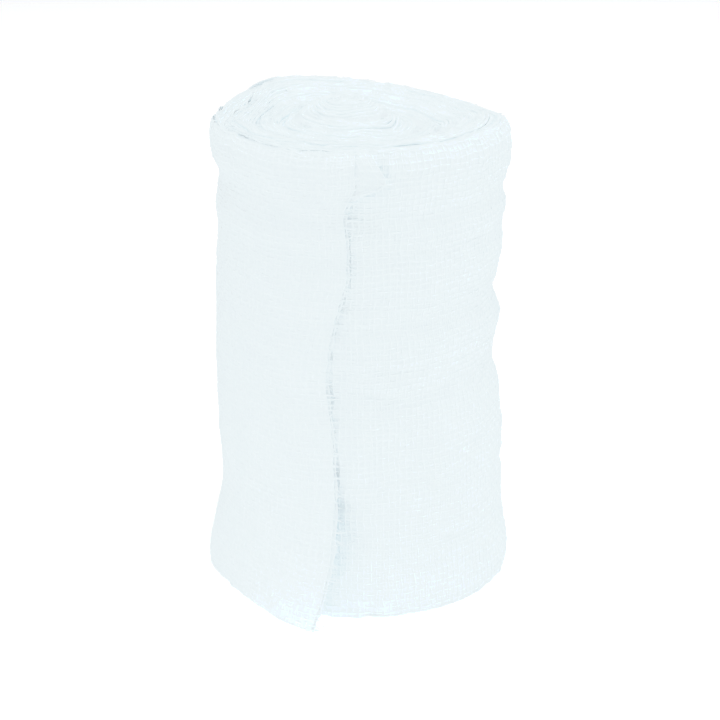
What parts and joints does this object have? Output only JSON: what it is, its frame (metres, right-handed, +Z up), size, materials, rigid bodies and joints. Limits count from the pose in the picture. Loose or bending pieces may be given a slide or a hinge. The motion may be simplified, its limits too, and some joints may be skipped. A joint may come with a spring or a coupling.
{
  "type": "gauze bandage roll",
  "caption": "Roll of woven gauze bandage standing on its end, with a spiral end face, soft uneven sides and the loose end of the cloth open at the front.",
  "frame": {"origin": "on the roll's axis, on the flat lower end that it stands on", "axes": "+Z up along the roll's axis; the cut edge of the loose end shows at -Y, the side that the picture sees, and +X is its right"},
  "size_m": [0.0653, 0.0696, 0.1031],
  "materials": {
    "wound_gauze": "soft open-weave cotton gauze, cool white, matt, slightly fuzzy",
    "loose_gauze": "soft open-weave cotton gauze, cool white, matt, with a lightly frayed cut edge"
  },
  "bodies": {
    "root": {"roll": "wound_gauze", "loose_end": "loose_gauze"}
  },
  "joints": []
}
